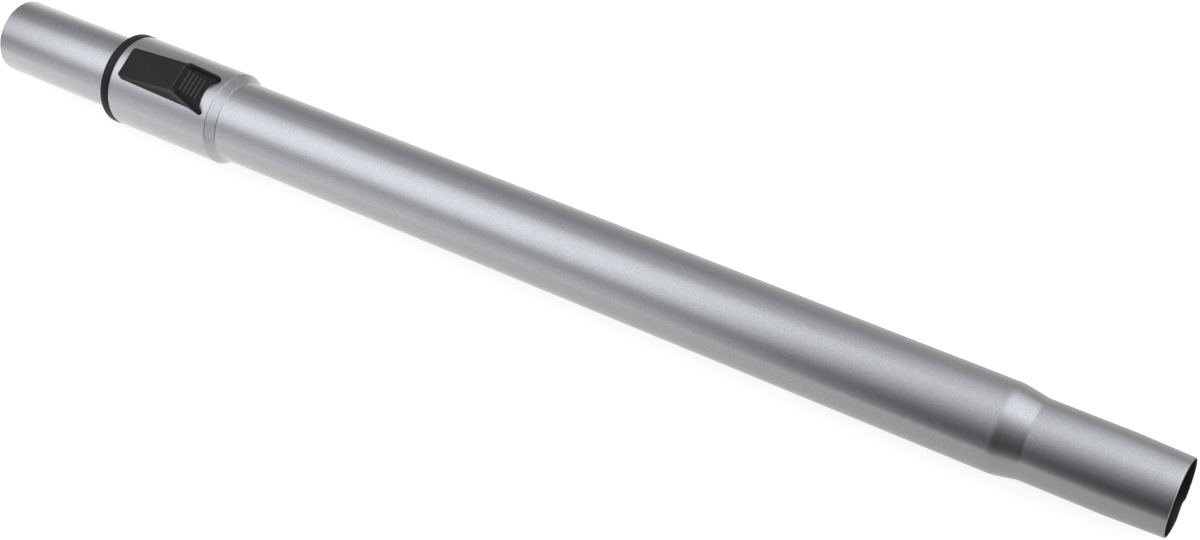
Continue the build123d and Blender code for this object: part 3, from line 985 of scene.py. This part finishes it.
@dataclass
class SlideButton:
    """The black slide button: a hollow wedge on the collar, with a ribbed ramp for the thumb."""

    datum: Datum
    sizes: Sizes = field(default_factory=Sizes)
    end: float = 523.5
    ridge: float = 485.0
    brow: float = 482.6
    horn: float = 472.4
    end_height: float = 23.3
    end_break_height: float = 21.6
    end_half: float = 8.0
    end_foot_half: float = 11.5
    foot_height: float = 15.0
    ridge_height: float = 32.3
    ridge_half: float = 7.5
    brow_half: float = 8.35
    break_station: float = 490.5
    break_height: float = 23.3
    break_half: float = 7.55
    horn_half: float = 10.6
    horn_height: float = 21.6
    horn_low_height: float = 18.4
    horn_foot_half: float = 12.2
    seat_gap: float = 0.15
    wall: float = 1.3
    end_corner: float = 1.6
    tip_round: float = 0.8
    edge_round: float = 0.35
    crisp_angle: float = 16.0
    smooth_angle: float = 28.0
    block_half: float = 20.0
    block_height: float = 45.0
    block_past_end: float = 10.0
    block_past_horn: float = 40.0
    seat_past: float = 60.0
    seat_core: float = 0.01
    seat_segments: int = 256
    rim: float = 1.2
    scoop_lift: float = 7.0
    scoop_past: float = 3.0
    scoop_round: float = 0.5
    scoop_flat: float = 1.0
    rib_count: int = 5
    rib_pitch: float = 2.0
    rib_width: float = 0.9
    rib_length: float = 11.0
    rib_height: float = 0.6
    rib_start: float = 3.4
    rib_round: float = 0.3
    polish_and_highlight_start: float = 0.2
    polish_and_highlight_end: float = 1.1
    polish_and_highlight_lean: float = 0.5
    bead_length: float = 12.6
    bead_width: float = 0.5
    bead_height: float = 0.3

    def surface(self, half: float) -> float:
        """Give the height of the button's seat at a distance from the upright plane."""
        return math.sqrt((self.sizes.collar + self.seat_gap) ** 2 - half**2)

    def corner(self, name: str, side: int) -> Vector:
        """Give a named corner of the button's outside.

        Args:
            name: The corner's name.
            side: 1 for the side at +Y, -1 for the other.

        Returns:
            The corner in the frame, in metres.
        """
        station, half, height = {
            "end_top": (self.end, self.end_half, self.end_height),
            "end_break": (self.end, self.end_half, self.end_break_height),
            "end_foot": (self.end, self.end_foot_half, self.foot_height),
            "ridge": (self.ridge, self.ridge_half, self.ridge_height),
            "break": (self.break_station, self.break_half, self.break_height),
            "brow": (self.brow, self.brow_half, self.ridge_height),
            "horn_top": (self.horn, self.horn_half, self.horn_height),
            "horn_low": (self.horn, self.horn_half, self.horn_low_height),
            "horn_foot": (self.horn, self.horn_foot_half, self.foot_height),
        }[name]
        return self.datum.at(station, side * half, height)

    def facets(self) -> dict[str, Facet]:
        """Lay the flat sides that bound the button's hollow and its ramp.

        Returns:
            The facets by name, with -1 or 1 at the end of a side's name.
        """
        at = self.datum.at
        inside = at((self.end + self.ridge) / 2, 0, self.sizes.collar)
        found = {
            "end": Facet(at(self.end), Vector((-1, 0, 0))),
            "floor": Facet(at(self.end, 0, self.sizes.collar / 2), Vector((0, 0, -1))),
            "top": Facet.through(self.corner("end_top", 1), self.corner("end_top", -1),
                                 self.corner("ridge", 1), inside),
            "ramp": Facet.through(self.corner("ridge", 1), self.corner("ridge", -1),
                                  at(self.horn, 0, self.surface(self.horn_half)), inside),
        }
        for side in (-1, 1):
            found[f"steep{side}"] = Facet.through(*(self.corner(name, side) for name in
                                                    ("end_top", "ridge", "break")), inside)
            found[f"flared{side}"] = Facet.through(*(self.corner(name, side) for name in
                                                     ("end_break", "break", "horn_low")), inside)
        return found

    def shell(self) -> bmesh.types.BMesh:
        """Lay the button's outside, face by face, with its feet below the collar's skin.

        Returns:
            The outside, closed and with its faces outwards.
        """
        sides = (
            ("end_top", "ridge", "break"),
            ("end_top", "break", "end_break"),
            ("end_break", "break", "horn_low", "horn_foot", "end_foot"),
            ("ridge", "brow", "break"),
            ("brow", "horn_top", "break"),
            ("horn_top", "horn_low", "break"),
        )
        across = (
            ("end_top", "ridge"),
            ("ridge", "brow"),
            ("brow", "horn_top"),
            ("horn_top", "horn_low", "horn_foot"),
            ("horn_foot", "end_foot"),
            ("end_foot", "end_break", "end_top"),
        )
        body = bmesh.new()
        verts = {(name, side): body.verts.new(self.corner(name, side))
                 for side in (-1, 1) for name in dict.fromkeys(name for loop in sides for name in loop)}
        for side in (-1, 1):
            for loop in sides:
                body.faces.new([verts[name, side] for name in loop])
        for loop in across:
            body.faces.new([verts[name, 1] for name in loop] + [verts[name, -1] for name in reversed(loop)])
        bmesh.ops.recalc_face_normals(body, faces=body.faces)
        return body

    def scoop_cutter(self) -> bmesh.types.BMesh:
        """Make the wedge that hollows the ramp for the thumb and leaves a rim down each side.

        Returns:
            The wedge, with rounded edges.
        """
        lift = self.facets()["ramp"].normal * self.scoop_lift * MM
        length = self.ridge - self.horn
        past = self.scoop_past / length
        drop = self.ridge_height - self.surface(self.horn_half)
        spread = self.horn_half - self.ridge_half
        scoop = bmesh.new()
        verts = []
        for share in (0.0, 1.0 + past):
            for side in (-1, 1):
                half = self.ridge_half + share * spread - self.rim
                low = self.datum.at(self.ridge - share * length, side * half,
                                    self.ridge_height - share * drop)
                verts += [scoop.verts.new(low), scoop.verts.new(low + lift)]
        bmesh.ops.convex_hull(scoop, input=verts)
        bmesh.ops.dissolve_limit(scoop, angle_limit=math.radians(self.scoop_flat), verts=scoop.verts,
                                 edges=scoop.edges)
        bmesh.ops.bevel(scoop, geom=scoop.edges[:], offset=self.scoop_round * MM, segments=4, profile=0.5,
                        affect="EDGES", material=-1)
        bmesh.ops.recalc_face_normals(scoop, faces=scoop.faces)
        return scoop

    def wedge(self, inset: float = 0.0) -> bmesh.types.BMesh:
        """Cut the wedge out of a block, facet by facet.

        Args:
            inset: Distance in millimetres by which every facet moves inwards.

        Returns:
            The wedge, closed, with flat faces.
        """
        body = box_cutter(self.datum.at(self.end + self.block_past_end, -self.block_half),
                          self.datum.at(self.horn - self.block_past_horn, self.block_half,
                                        self.block_height))
        for facet in self.facets().values():
            bmesh.ops.bisect_plane(body, geom=body.verts[:] + body.edges[:] + body.faces[:], dist=WELD,
                                   plane_co=facet.origin - facet.normal * inset * MM,
                                   plane_no=facet.normal, clear_outer=True)
            bmesh.ops.holes_fill(body, edges=[e for e in body.edges if e.is_boundary])
        bmesh.ops.recalc_face_normals(body, faces=body.faces)
        return body

    def upright(self, body: bmesh.types.BMesh, station: float) -> list[bmesh.types.BMEdge]:
        """Find the edges of one of the button's ends that run up its corners.

        Args:
            body: The button's outside.
            station: The end's station.

        Returns:
            The edges.
        """
        x = self.datum.at(station).x
        return [edge for edge in body.edges
                if all(abs(vert.co.x - x) < WELD for vert in edge.verts)
                and edge.verts[0].co.y * edge.verts[1].co.y > 0]

    def soften(self, body: bmesh.types.BMesh, edges: list[bmesh.types.BMEdge], radius: float,
               segments: int) -> None:
        """Round some edges of the button's outside.

        Args:
            body: The button's outside.
            edges: The edges.
            radius: Radius of the rounding in millimetres.
            segments: Faces across the rounding.
        """
        bmesh.ops.bevel(body, geom=edges, offset=radius * MM, segments=segments, profile=0.5,
                        affect="EDGES", material=-1, clamp_overlap=True)

    def ribs(self) -> bmesh.types.BMesh:
        """Make the bars that stand on the ramp for grip, and the thin bead along its ridge.

        Returns:
            The bars and the bead, as closed boxes with rounded edges.
        """
        facet = self.facets()["ramp"]
        across = Vector((0, 1, 0))
        down = across.cross(facet.normal).normalized()
        if down.z > 0:
            down.negate()
        bars = bmesh.new()
        frame = Matrix((across, down, facet.normal)).transposed().to_4x4()
        wanted = [(self.rib_start + index * self.rib_pitch, self.rib_length, self.rib_width, self.rib_height)
                  for index in range(self.rib_count)]
        wanted.append((0.0, self.bead_length, self.bead_width, self.bead_height))
        for distance, length, width, height in wanted:
            middle = facet.origin + down * distance * MM
            middle.y = 0
            size = Vector((length, width, 2 * height)) * MM
            made = bmesh.ops.create_cube(bars, size=1.0, matrix=Matrix.Translation(middle) @ frame
                                         @ Matrix.Diagonal(size).to_4x4())
            bar_edges = {e for v in made["verts"] for e in v.link_edges}
            bmesh.ops.bevel(bars, geom=list(bar_edges), offset=self.rib_round * width * MM, segments=3,
                            profile=0.5, affect="EDGES", material=-1)
        bmesh.ops.recalc_face_normals(bars, faces=bars.faces)
        return bars

    def polish_and_highlight(self, piece: bpy.types.Object) -> None:
        """Give the tops of the ribs and of the bead the button's second material, which is smoother and drawn
        lighter as a painted highlight.

        Args:
            piece: The button.
        """
        ramp_side = self.facets()["ramp"]
        lowest = self.polish_and_highlight_start * self.rib_height
        highest = self.polish_and_highlight_end * self.rib_height
        for face in piece.data.polygons:
            height = (face.center - ramp_side.origin).dot(ramp_side.normal) / MM
            on_ribs = abs(face.center.y) < self.bead_length / 2 * MM
            if on_ribs and abs(face.normal.y) < self.polish_and_highlight_lean and lowest < height < highest:
                face.material_index = 1

    def build(self, palette: Palette) -> bpy.types.Object:
        """Shape the button, seat and hollow it, and dress it.

        Args:
            palette: The wand's materials.

        Returns:
            The dressed button.
        """
        body = self.shell()
        self.soften(body, self.upright(body, self.end), self.end_corner, 8)
        self.soften(body, self.upright(body, self.horn), self.tip_round, 5)
        body.normal_update()
        crisp = [e for e in body.edges if len(e.link_faces) == 2 and e.is_convex
                 and e.calc_face_angle() > math.radians(self.crisp_angle)
                 and e.verts[0].co.z > self.datum.axis + self.foot_height * MM + WELD]
        self.soften(body, crisp, self.edge_round, 4)
        bmesh.ops.recalc_face_normals(body, faces=body.faces)
        piece = as_object(body, "moulded_slide_button")
        carve(piece, self.scoop_cutter())
        carve(piece, self.ribs(), Cut.JOIN)
        seat = self.sizes.collar + self.seat_gap
        front = self.horn - self.seat_past
        back = self.sizes.ring_end
        section = [Vector((front, self.seat_core)), Vector((front, seat)),
                   Vector((back, seat)), Vector((back, self.seat_core))]
        carve(piece, turned(self.datum, section, [(FULL_TURN, self.seat_segments)]))
        carve(piece, self.wedge(self.wall))
        # Painted highlight: the tops of the ribs and the bead get the lighter, smoother second material
        self.polish_and_highlight(piece)
        flatten = piece.modifiers.new("flat_sides", "WEIGHTED_NORMAL")
        flatten.keep_sharp = True
        piece.data.set_sharp_from_angle(angle=math.radians(self.smooth_angle))
        apply_modifiers(piece)
        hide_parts("slide_button")
        return dress(piece, [palette.plastic, palette.worn_plastic], Slot.PLASTIC, Body.SLIDER,
                     sharp=self.smooth_angle)


@dataclass
class ReturnSpring:
    """One coil spring between the carriage and the end of its track."""

    datum: Datum
    side: int
    name: str
    node: str
    start: float = 507.0
    end: float = 516.0
    offset: float = 4.35
    height: float = 19.1
    wire: float = 0.3
    coil: float = 1.8
    turns: int = 4
    steps_per_turn: int = 20
    wire_sides: int = 8

    def build(self, palette: Palette) -> bpy.types.Object:
        """Wind the spring as a helix of round wire.

        Args:
            palette: The wand's materials.

        Returns:
            The dressed spring.
        """
        centre = self.datum.at(self.start + self.wire, self.side * self.offset, self.height)
        wire = self.wire * MM
        radius = (self.coil * MM - wire) / 2
        spring = bmesh.new()
        section = bmesh.ops.create_circle(
            spring, segments=self.wire_sides, radius=wire / 2,
            matrix=Matrix.Translation(centre + Vector((0, 0, radius))) @ Matrix.Rotation(math.pi / 2, 4, "X"))
        geometry = section["verts"] + list({e for v in section["verts"] for e in v.link_edges})
        steps = self.turns * self.steps_per_turn
        run = (self.end - self.start - 2 * self.wire) * MM
        bmesh.ops.spin(spring, geom=geometry, cent=centre, axis=(1, 0, 0), dvec=(-run / steps, 0, 0),
                       angle=math.tau * self.turns, steps=steps)
        bmesh.ops.holes_fill(spring, edges=[e for e in spring.edges if e.is_boundary])
        bmesh.ops.recalc_face_normals(spring, faces=spring.faces)
        piece = as_object(spring, self.name)
        piece.data.materials.append(palette.steel)
        piece.data.shade_smooth()
        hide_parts(self.node)
        self.datum.at(self.end, self.side * self.offset, self.height)
        self.datum.at(self.start, self.side * self.offset, self.height)
        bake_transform(piece)
        LOG.info("%s: %d faces between outer and slider", piece.name, len(piece.data.polygons))
        return piece


@dataclass
class InnerWorks:
    """The pieces inside the collar and on the parked end, which keep their own solids."""

    nodes: dict[str, bpy.types.Object]

    def build(self, palette: Palette) -> None:
        """Give each kept solid its material.

        Args:
            palette: The wand's materials.
        """
        finishes = {
            "guide_sleeve": (palette.acetal, Slot.ACETAL),
            "cam_carriage": (palette.acetal, Slot.ACETAL),
            "latch_block": (palette.acetal, Slot.ACETAL),
            "latch_dowel": (palette.steel, Slot.STEEL),
            "end_bush": (palette.plastic, Slot.PLASTIC),
            "wiper_seal": (palette.felt, Slot.FELT),
            "end_seal": (palette.felt, Slot.FELT),
        }
        for name, (material, slot) in finishes.items():
            piece = self.nodes[name]
            piece.data.materials.clear()
            piece.data.materials.append(material)
            LOG.info("%s: kept solid, %s", name, material.name)


@dataclass(frozen=True)
class RoomBand:
    """How bright the room is along one arch over the wand, from the back to the camera's side.

    Attributes:
        levels: Pairs of an angle from straight up, in degrees and positive towards the camera's
            side, and the brightness there, where 1 is white.
        reach: Angle in degrees at both ends of the colour ramp.
        peak: Brightness that the ramp's white stands for.
    """

    levels: tuple[tuple[float, float], ...]
    reach: float = 100.0
    peak: float = 1.8

    def socket(self, tree: bpy.types.NodeTree, angle: bpy.types.NodeSocket,
               tint: str) -> bpy.types.NodeSocket:
        """Turn the arch into a colour ramp over the angle.

        Args:
            tree: The world's node tree.
            angle: Socket of the angle, in degrees.
            tint: sRGB colour of the light.

        Returns:
            The socket of the light's colour, as a share of the peak.
        """
        share = add_node(tree, "ShaderNodeMapRange",
                         {"Value": angle, "From Min": -self.reach, "From Max": self.reach}).outputs["Result"]
        ramp_node = add_node(tree, "ShaderNodeValToRGB", {"Fac": share})
        stops = ramp_node.color_ramp.elements
        while len(stops) < len(self.levels):
            stops.new(0.5)
        for stop, (degrees, level) in zip(stops, self.levels):
            stop.position = (degrees + self.reach) / (2 * self.reach)
            stop.color = [level / self.peak * part for part in linear(tint)[:3]] + [1.0]
        return ramp_node.outputs["Color"]


@dataclass(frozen=True)
class Reach:
    """Where the room's light goes over from one arch to the next.

    Attributes:
        start: X of the direction, as part of a unit vector, where the next arch begins to show.
        end: X of the direction where it has taken over.
        behind: Shift of X for each degree from the camera's plane towards the back.
        before: Shift of X for each degree from the camera's plane towards the camera's side.
    """

    start: float
    end: float
    behind: float = 0.0
    before: float = 0.0

    def socket(self, tree: bpy.types.NodeTree, along: bpy.types.NodeSocket,
               aside: bpy.types.NodeSocket) -> bpy.types.NodeSocket:
        """Give the next arch's share of the light.

        Args:
            tree: The world's node tree.
            along: Socket of the direction's X.
            aside: Socket of the angle from the camera's plane, in degrees.

        Returns:
            The socket of the share, from 0 to 1.
        """
        for limit, lean in (("MAXIMUM", self.before), ("MINIMUM", -self.behind)):
            if lean:
                part = add_node(tree, "ShaderNodeMath", {0: aside, 1: 0.0}, operation=limit)
                along = add_node(tree, "ShaderNodeMath", {0: part.outputs["Value"], 1: lean, 2: along},
                                 operation="MULTIPLY_ADD").outputs["Value"]
        share = add_node(tree, "ShaderNodeMapRange",
                         {"Value": along, "From Min": self.start, "From Max": self.end},
                         interpolation_type="SMOOTHSTEP")
        return share.outputs["Result"]


@dataclass
class Studio:
    """The pale floor, the room's soft light and the camera.

    The room is seen in the lacquer. Over the hose end hangs a wide bright softbox, over the
    nozzle end the light comes from behind the wand, and the camera's side is dark there.

    Attributes:
        datum: The wand's datum.
        floor_half: Half the floor's width in metres.
        floor_colour: sRGB colour of the floor.
        floor_lift: Light added to the floor for the camera, which brings it to white.
        mirror_span: X in metres between which the floor's reflection changes along the wand.
        mirror_levels: Brightness of the reflection at the two ends of that span.
        mirror_back: Y in metres between which the reflection goes over to the back's.
        mirror_back_level: Brightness of the reflection at the back.
        camera_place: The camera's place in metres, with its height above the wand's axis.
        camera_right: Direction of the picture's right.
        camera_up: Direction of the picture's top.
        camera_forward: Direction in which the camera looks.
        camera_angle: Angle of the camera's plane from straight up, in degrees.
        lens: Focal length in millimetres.
        sensor: Width of the camera's sensor in millimetres.
        tint: sRGB colour of the light.
        hose_band: The arch over the hose end, which comes back far past the nozzle end.
        nozzle_band: The arch over the nozzle end.
        shoulder_band: The arch over the shoulder and the mouth.
        nozzle_reach: Where the nozzle's arch takes over.
        shoulder_reach: Where the shoulder's arch takes over.
        flare_reach: Where the hose end's arch comes back.
        hose_end: X of the directions between which the light falls off past the hose end.
        hose_end_levels: Share of the light at the two ends of that fall.
        nozzle_end: X of the directions between which it falls off past the nozzle end.
        nozzle_end_level: Share of the light that is left there.
    """

    datum: Datum
    floor_half: float = 20.0
    floor_colour: str = "#C8C8C8"
    floor_lift: float = 0.72
    camera_place: tuple[float, float, float] = (0.391708, -0.218643, 0.772667)
    camera_right: tuple[float, float, float] = (0.849979, 0.459327, -0.257981)
    camera_up: tuple[float, float, float] = (-0.341268, 0.853132, 0.394590)
    camera_forward: tuple[float, float, float] = (-0.401338, 0.247353, -0.881898)
    camera_angle: float = 15.8
    lens: float = 60.1613
    tint: str = "#F8FBFF"
    sensor: float = 36.0
    mirror_span: tuple[float, float] = (-0.35, 0.32)
    mirror_levels: tuple[float, float] = (1.06, 0.54)
    mirror_back: tuple[float, float] = (0.01, 0.16)
    mirror_back_level: float = 0.48
    hose_band: RoomBand = RoomBand((
        (-90, 0.43), (-76, 0.39), (-60, 0.51), (-45, 0.62), (-35, 0.76), (-29, 1.17), (-14, 1.47), (2, 1.68),
        (16, 1.62), (28, 1.45), (36, 1.12), (46, 0.74), (57, 0.68), (66, 0.84), (78, 0.96), (90, 0.93)))
    nozzle_band: RoomBand = RoomBand((
        (-90, 0.66), (-76, 0.8), (-58, 1.05), (-42, 1.17), (-28, 1.16), (-16, 0.98), (-6, 0.82), (4, 0.68),
        (16, 0.46), (30, 0.26), (44, 0.15), (58, 0.08), (70, 0.1), (78, 0.18), (84, 0.28), (90, 0.36)))
    shoulder_band: RoomBand = RoomBand((
        (-90, 0.72), (-76, 1.15), (-62, 1.5), (-45, 1.66), (-28, 1.62), (-16, 1.32), (-6, 0.84), (4, 0.5),
        (16, 0.28), (30, 0.12), (44, 0.05), (58, 0.04), (70, 0.08), (78, 0.16), (84, 0.26), (90, 0.34)))
    nozzle_reach: Reach = Reach(-0.365, -0.285, behind=-0.0012)
    shoulder_reach: Reach = Reach(-0.12, 0.05)
    flare_reach: Reach = Reach(0.33, 0.41, behind=0.0018, before=0.0008)
    hose_end: tuple[float, float] = (-0.62, -1.0)
    hose_end_levels: tuple[float, float] = (0.99, 0.3)
    nozzle_end: tuple[float, float] = (0.5, 0.75)
    nozzle_end_level: float = 0.7

    def floor(self) -> None:
        """Lay the floor: pale and matt, and lifted to white for the camera."""
        sheet = bmesh.new()
        bmesh.ops.create_grid(sheet, x_segments=1, y_segments=1, size=self.floor_half)
        floor = as_object(sheet, "floor")
        material = bpy.data.materials.new("pale_floor")
        material.use_nodes = True
        tree = material.node_tree
        tree.nodes.clear()
        paper = add_node(tree, "ShaderNodeBsdfDiffuse", {"Color": linear(self.floor_colour)})
        rays = add_node(tree, "ShaderNodeLightPath")
        shown = add_node(tree, "ShaderNodeMath",
                         {0: rays.outputs["Is Camera Ray"], 1: rays.outputs["Is Transmission Ray"]},
                         operation="MAXIMUM")
        strength = add_node(tree, "ShaderNodeMath", {0: shown.outputs["Value"], 1: self.floor_lift},
                            operation="MULTIPLY")
        lift = add_node(tree, "ShaderNodeEmission", {"Strength": strength.outputs["Value"]})
        seen = add_node(tree, "ShaderNodeAddShader", {0: paper.outputs["BSDF"], 1: lift.outputs["Emission"]})
        # What the lacquer mirrors of the floor: dimmer towards the nozzle end and at the back
        place = add_node(tree, "ShaderNodeSeparateXYZ",
                         {"Vector": add_node(tree, "ShaderNodeNewGeometry").outputs["Position"]})
        near = add_node(tree, "ShaderNodeMapRange",
                        {"Value": place.outputs["X"], "From Min": self.mirror_span[0],
                         "From Max": self.mirror_span[1], "To Min": self.mirror_levels[0],
                         "To Max": self.mirror_levels[1]})
        back = add_node(tree, "ShaderNodeMapRange",
                        {"Value": place.outputs["Y"], "From Min": self.mirror_back[0],
                         "From Max": self.mirror_back[1]}, interpolation_type="SMOOTHSTEP")
        level = add_node(tree, "ShaderNodeMix",
                         {MIX_SHARE: back.outputs["Result"], MIX_LOW: near.outputs["Result"],
                          MIX_HIGH: self.mirror_back_level})
        mirrored = add_node(tree, "ShaderNodeEmission", {"Strength": level.outputs["Result"]})
        both = add_node(tree, "ShaderNodeMixShader",
                        {0: rays.outputs["Is Glossy Ray"], 1: seen.outputs["Shader"],
                         2: mirrored.outputs["Emission"]})
        add_node(tree, "ShaderNodeOutputMaterial", {"Surface": both.outputs["Shader"]})
        floor.data.materials.append(material)

    def world(self) -> None:
        """Light the room in three arches over the wand, blended along its length."""
        world = bpy.data.worlds.new("studio")
        bpy.context.scene.world = world
        world.use_nodes = True
        tree = world.node_tree
        tree.nodes.clear()
        ways = add_node(tree, "ShaderNodeTexCoord").outputs["Generated"]
        parts = add_node(tree, "ShaderNodeSeparateXYZ", {"Vector": ways})
        front = add_node(tree, "ShaderNodeMath", {0: parts.outputs["Y"], 1: -1.0}, operation="MULTIPLY")
        turn = add_node(tree, "ShaderNodeMath", {0: front.outputs["Value"], 1: parts.outputs["Z"]},
                        operation="ARCTAN2")
        angle = add_node(tree, "ShaderNodeMath", {0: turn.outputs["Value"]},
                         operation="DEGREES").outputs["Value"]
        hose, nozzle, shoulder = [band.socket(tree, angle, self.tint)
                                  for band in (self.hose_band, self.nozzle_band, self.shoulder_band)]
        light = hose
        along = parts.outputs["X"]
        aside = add_node(tree, "ShaderNodeMath", {0: angle, 1: -self.camera_angle},
                         operation="ADD").outputs["Value"]
        changes = (
            (self.nozzle_reach, nozzle),
            (self.shoulder_reach, shoulder),
            (self.flare_reach, hose),
        )
        for reach, band in changes:
            light = add_node(tree, "ShaderNodeMix",
                             {MIX_SHARE: reach.socket(tree, along, aside), MIX_FIRST: light,
                              MIX_SECOND: band}, data_type="RGBA").outputs[MIX_BLEND]
        hose_end = add_node(tree, "ShaderNodeMapRange",
                            {"Value": along, "From Min": self.hose_end[0], "From Max": self.hose_end[1],
                             "To Min": RoomBand.peak * self.hose_end_levels[0],
                             "To Max": RoomBand.peak * self.hose_end_levels[1]},
                            interpolation_type="SMOOTHSTEP")
        nozzle_end = add_node(tree, "ShaderNodeMapRange",
                              {"Value": along, "From Min": self.nozzle_end[0],
                               "From Max": self.nozzle_end[1], "To Min": 1.0,
                               "To Max": self.nozzle_end_level}, interpolation_type="SMOOTHSTEP")
        ends = add_node(tree, "ShaderNodeMath",
                        {0: hose_end.outputs["Result"], 1: nozzle_end.outputs["Result"]},
                        operation="MULTIPLY")
        glow = add_node(tree, "ShaderNodeBackground", {"Color": light, "Strength": ends.outputs["Value"]})
        add_node(tree, "ShaderNodeOutputWorld", {"Surface": glow.outputs["Background"]})

    def camera(self) -> None:
        """Set the camera where the photograph was taken from."""
        lens = bpy.data.cameras.new("camera")
        lens.sensor_fit = "HORIZONTAL"
        lens.sensor_width = self.sensor
        lens.lens = self.lens
        camera = bpy.data.objects.new("camera", lens)
        backward = tuple(-part for part in self.camera_forward)
        turn = Matrix((self.camera_right, self.camera_up, backward)).transposed()
        place = Vector(self.camera_place) + Vector((0, 0, self.datum.axis))
        camera.matrix_world = Matrix.Translation(place) @ turn.to_4x4()
        bpy.context.scene.collection.objects.link(camera)
        bpy.context.scene.camera = camera

    def build(self) -> None:
        """Set up the whole studio."""
        self.camera()
        self.floor()
        self.world()
        bpy.context.scene.view_settings.view_transform = "Standard"


def main() -> None:
    """Load the frame, build every piece of the wand and set up the studio."""
    logging.basicConfig(level=logging.INFO, format="%(name)s: %(message)s")
    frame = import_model()
    datum = Datum.from_frame()
    palette = Palette.mixed()
    Studio(datum).build()
    builders: list[Callable[[Palette], object]] = [
        OuterTube(datum).build,
        InnerTube(datum).build,
        CollarRing(datum).build,
        SlideButton(datum).build,
        ReturnSpring(datum, 1, "coiled_spring_left", "return_spring_left").build,
        ReturnSpring(datum, -1, "coiled_spring_right", "return_spring_right").build,
        InnerWorks(frame["nodes"]).build,
    ]
    for build in builders:
        build(palette)


if __name__ == "__main__":
    main()
